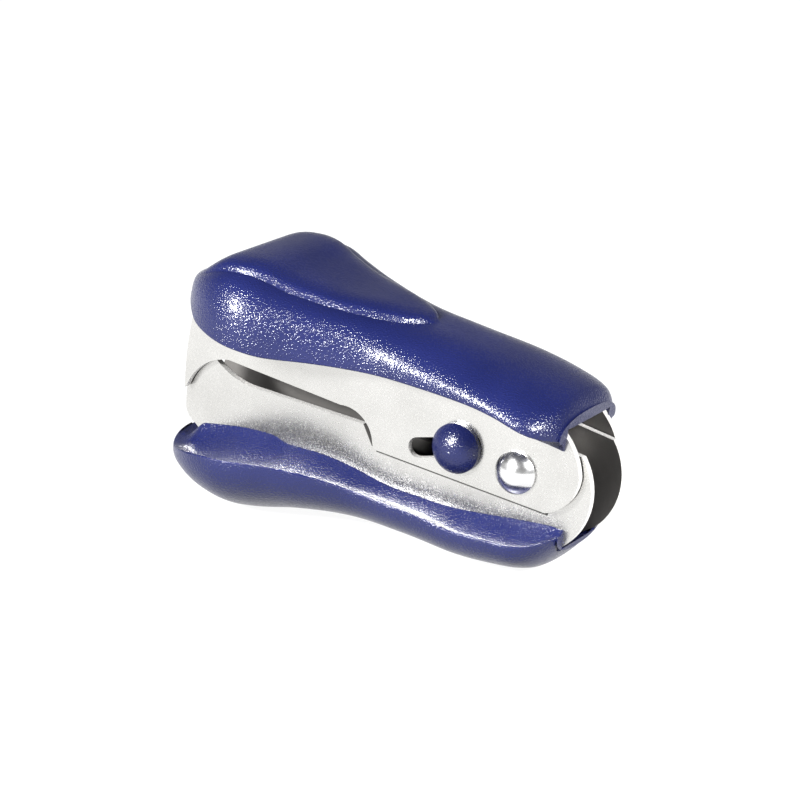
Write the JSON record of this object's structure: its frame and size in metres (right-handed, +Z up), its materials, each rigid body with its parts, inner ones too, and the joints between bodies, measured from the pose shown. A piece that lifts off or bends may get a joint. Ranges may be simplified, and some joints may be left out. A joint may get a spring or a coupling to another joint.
{
  "type": "claw staple remover",
  "caption": "Hand staple remover with nested steel claw jaws on a rivet, flared plastic grips, a return spring and a sliding lock button.",
  "frame": {"origin": "middle of the footprint, on the surface that the lower grip stands on", "axes": "+Z up, claws towards -X, pivot axis along Y at the +X end"},
  "size_m": [0.0604, 0.0324, 0.0339],
  "materials": {
    "jaw_steel": "satin nickel-plated sheet steel",
    "grip_plastic": "deep blue moulding with a fine leather grain and a soft gloss",
    "rivet_metal": "polished nickel plate",
    "button_plastic": "the same blue, moulded smooth",
    "spring_wire": "drawn spring wire"
  },
  "bodies": {
    "lower_arm": {"lower_jaw": "jaw_steel", "lower_grip": "grip_plastic"},
    "upper_arm": {"upper_jaw": "jaw_steel", "upper_grip": "grip_plastic", "pivot_rivet": "rivet_metal", "rivet_cap": "rivet_metal", "torsion_spring": "spring_wire"},
    "slide_lock": {"lock_pin": "rivet_metal", "lock_button": "button_plastic", "lock_button_far": "button_plastic"}
  },
  "joints": [
    {"name": "jaw_hinge", "type": "hinge", "parent": "lower_arm", "child": "upper_arm", "pos_m": [0.02032, 0, 0.01275], "axis": [0, 1, 0], "range_deg": [0, 26], "deforming": ["torsion_spring"]},
    {"name": "lock_slide", "type": "slide", "parent": "upper_arm", "child": "slide_lock", "axis": [-0.9763, 0, -0.2164], "range_m": [0, 0.0057]}
  ]
}
